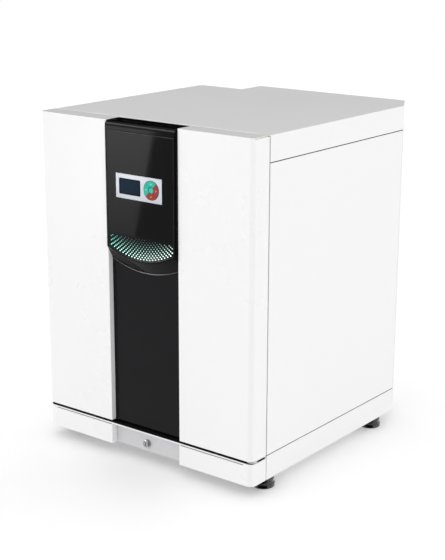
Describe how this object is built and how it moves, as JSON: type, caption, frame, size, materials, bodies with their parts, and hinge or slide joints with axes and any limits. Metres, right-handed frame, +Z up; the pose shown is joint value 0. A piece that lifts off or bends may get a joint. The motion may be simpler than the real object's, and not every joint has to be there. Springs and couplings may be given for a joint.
{
  "type": "peltier incubator",
  "caption": "Free-standing insulated lab cabinet with a full-height hinged front door, a black control panel on it, a key lock in the plinth and levelling feet.",
  "frame": {"origin": "on the floor, below the middle of the object's box", "axes": "+Z up, -Y out of the door, +X towards the hinge side"},
  "size_m": [0.58, 0.6504, 0.753],
  "materials": {
    "cabinet_white": "satin",
    "door_white": "satin",
    "black_gloss": "gloss",
    "black_panel": "satin",
    "black_trim": "matte",
    "foot_black": "gloss",
    "stainless": "satin",
    "zinc_steel": "satin",
    "lock_chrome": "polished",
    "foam": "matte",
    "gasket_grey": "matte",
    "plate_silver": "satin",
    "screen_dark": "gloss",
    "key_teal": "satin",
    "key_red": "satin",
    "diffuser_white": "matte",
    "board_green": "satin",
    "heat_sink": "satin",
    "module_white": "matte",
    "fan_black": "satin",
    "bush_nylon": "satin",
    "liner_plastic": "satin"
  },
  "bodies": {
    "cabinet": {"top_cover": "cabinet_white", "base_tray": "cabinet_white", "chassis_floor": "zinc_steel", "side_panel_left": "cabinet_white", "side_panel_right": "cabinet_white", "front_frame": "stainless", "insulation": "foam", "chamber_liner": "stainless", "shelf_uprights": "stainless", "shelf_rails": "stainless", "cold_sink": "heat_sink", "cold_block": "heat_sink", "peltier_modules": "module_white", "hot_sink": "heat_sink", "circulation_fan_frame": "fan_black", "exhaust_fan_frame": "fan_black", "air_baffle": "stainless", "temperature_probe": "stainless", "rear_panel": "cabinet_white", "rear_housing": "cabinet_white", "cabinet_screws": "zinc_steel", "power_supply": "zinc_steel", "mains_inlet": "black_trim", "plinth_front": "door_white", "plinth_centre": "door_white", "plinth_cap": "black_trim", "lock_body": "lock_chrome", "hinge_plates": "zinc_steel"},
    "door": {"door_shell": "door_white", "door_core": "foam", "door_liner": "liner_plastic", "door_gasket": "gasket_grey", "door_bottom_trim": "black_trim", "hinge_bushes": "bush_nylon", "black_panel": "black_panel", "upper_cover": "black_gloss", "control_panel": "black_gloss", "light_grille": "black_panel", "light_diffuser": "diffuser_white", "display_plate": "plate_silver", "display_screen": "screen_dark", "controller_board": "board_green"},
    "key_up": {"key_up": "key_teal"},
    "key_left": {"key_left": "key_teal"},
    "key_down": {"key_down": "key_red"},
    "key_right": {"key_right": "key_red"},
    "key_centre": {"key_centre": "key_teal"},
    "lock": {"lock_plug": "lock_chrome", "lock_cam": "zinc_steel"},
    "foot_front_left": {"foot_front_left": "foot_black"},
    "foot_front_right": {"foot_front_right": "foot_black"},
    "foot_rear_left": {"foot_rear_left": "foot_black"},
    "foot_rear_right": {"foot_rear_right": "foot_black"},
    "circulation_rotor": {"circulation_fan_rotor": "fan_black"},
    "exhaust_rotor": {"exhaust_fan_rotor": "fan_black"},
    "rocker": {"power_rocker": "fan_black"},
    "shelf_lower": {"shelf_lower": "stainless"},
    "shelf_upper": {"shelf_upper": "stainless"}
  },
  "joints": [
    {"name": "door_hinge", "type": "hinge", "parent": "cabinet", "child": "door", "pos_m": [0.278, -0.30085, 0.4], "axis": [0, 0, 1], "range_deg": [0, 100]},
    {"name": "key_up_press", "type": "slide", "parent": "door", "child": "key_up", "axis": [0, 1, 0], "range_m": [0, 0.0008], "stiffness_N_per_m": 900},
    {"name": "key_left_press", "type": "slide", "parent": "door", "child": "key_left", "axis": [0, 1, 0], "range_m": [0, 0.0008], "stiffness_N_per_m": 900},
    {"name": "key_down_press", "type": "slide", "parent": "door", "child": "key_down", "axis": [0, 1, 0], "range_m": [0, 0.0008], "stiffness_N_per_m": 900},
    {"name": "key_right_press", "type": "slide", "parent": "door", "child": "key_right", "axis": [0, 1, 0], "range_m": [0, 0.0008], "stiffness_N_per_m": 900},
    {"name": "key_centre_press", "type": "slide", "parent": "door", "child": "key_centre", "axis": [0, 1, 0], "range_m": [0, 0.0008], "stiffness_N_per_m": 900},
    {"name": "lock_turn", "type": "hinge", "parent": "cabinet", "child": "lock", "pos_m": [-0.006, -0.27995, 0.0445], "axis": [0, 1, 0], "range_deg": [0, 90]},
    {"name": "foot_front_left_screw", "type": "slide", "parent": "cabinet", "child": "foot_front_left", "axis": [0, 0, -1], "range_m": [0, 0.012]},
    {"name": "foot_front_right_screw", "type": "slide", "parent": "cabinet", "child": "foot_front_right", "axis": [0, 0, -1], "range_m": [0, 0.012]},
    {"name": "foot_rear_left_screw", "type": "slide", "parent": "cabinet", "child": "foot_rear_left", "axis": [0, 0, -1], "range_m": [0, 0.012]},
    {"name": "foot_rear_right_screw", "type": "slide", "parent": "cabinet", "child": "foot_rear_right", "axis": [0, 0, -1], "range_m": [0, 0.012]},
    {"name": "circulation_fan_spin", "type": "hinge", "parent": "cabinet", "child": "circulation_rotor", "pos_m": [0.042, 0.138, 0.521], "axis": [0, 1, 0], "continuous": true},
    {"name": "exhaust_fan_spin", "type": "hinge", "parent": "cabinet", "child": "exhaust_rotor", "pos_m": [0.042, 0.309, 0.521], "axis": [0, 1, 0], "continuous": true},
    {"name": "mains_rocker", "type": "hinge", "parent": "cabinet", "child": "rocker", "pos_m": [0.2015, 0.31995, 0.133], "axis": [-1, 0, 0], "range_deg": [0, 20]},
    {"name": "shelf_lower_slide", "type": "slide", "parent": "cabinet", "child": "shelf_lower", "axis": [0, -1, 0], "range_m": [0, 0.018]},
    {"name": "shelf_upper_slide", "type": "slide", "parent": "cabinet", "child": "shelf_upper", "axis": [0, -1, 0], "range_m": [0, 0.018]}
  ]
}
